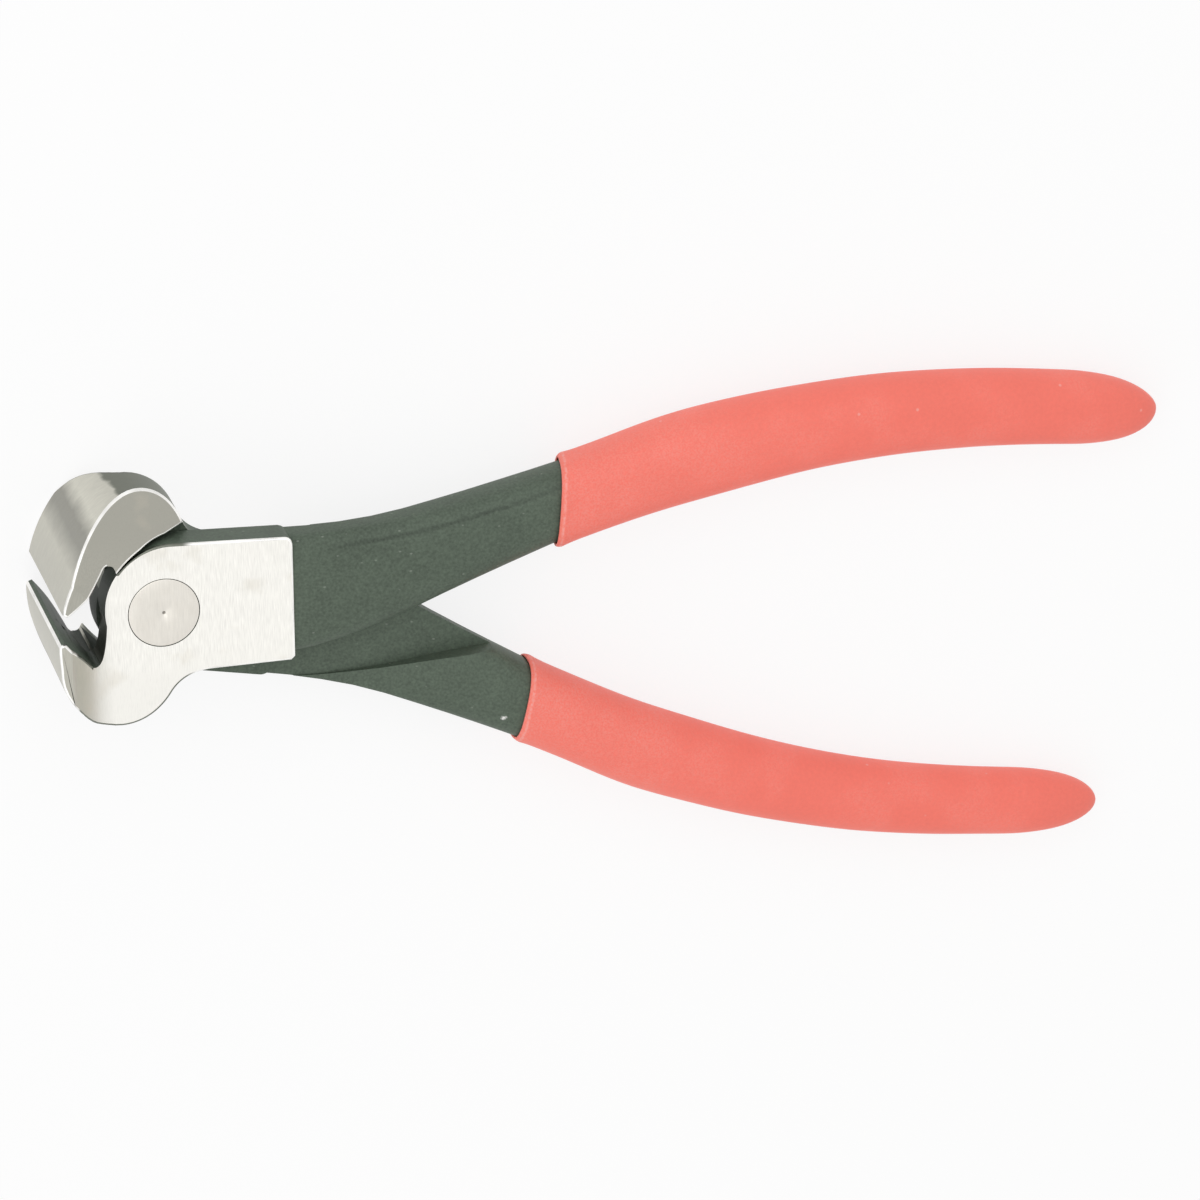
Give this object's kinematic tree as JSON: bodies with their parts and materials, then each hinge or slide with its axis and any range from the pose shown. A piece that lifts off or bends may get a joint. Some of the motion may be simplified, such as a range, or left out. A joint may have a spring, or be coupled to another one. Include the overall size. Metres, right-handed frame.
{
  "type": "end cutting nippers",
  "caption": "End cutting nippers: crossed forged steel levers in a riveted lap joint, hooked flared jaws with a cutting edge across the nose, and dipped plastic grips.",
  "frame": {"origin": "on the pivot axis, in the flat rear face of the joint where the rivet is ground flush", "axes": "+X from the pivot to the handles, along the middle line between them; +Y to the handle of the front lever; +Z along the pivot, from the rear joint face to the front one"},
  "size_m": [0.1745, 0.0783, 0.0262],
  "materials": {
    "front_lever": "ground and brushed jaw and joint face, black oxide tang",
    "rear_lever": "ground and brushed jaw and joint face, black oxide tang",
    "pivot_rivet": "ground flush, satin",
    "upper_grip": "dipped soft plastic, satin",
    "lower_grip": "dipped soft plastic, satin"
  },
  "bodies": {
    "front_half": {"front_lever": "front_lever", "pivot_rivet": "pivot_rivet", "upper_grip": "upper_grip"},
    "rear_half": {"rear_lever": "rear_lever", "lower_grip": "lower_grip"}
  },
  "joints": [
    {"name": "pivot", "type": "hinge", "parent": "front_half", "child": "rear_half", "pos_m": [0, 0, 0.0054], "axis": [0, 0, -1], "range_deg": [-14.1, 17]}
  ]
}
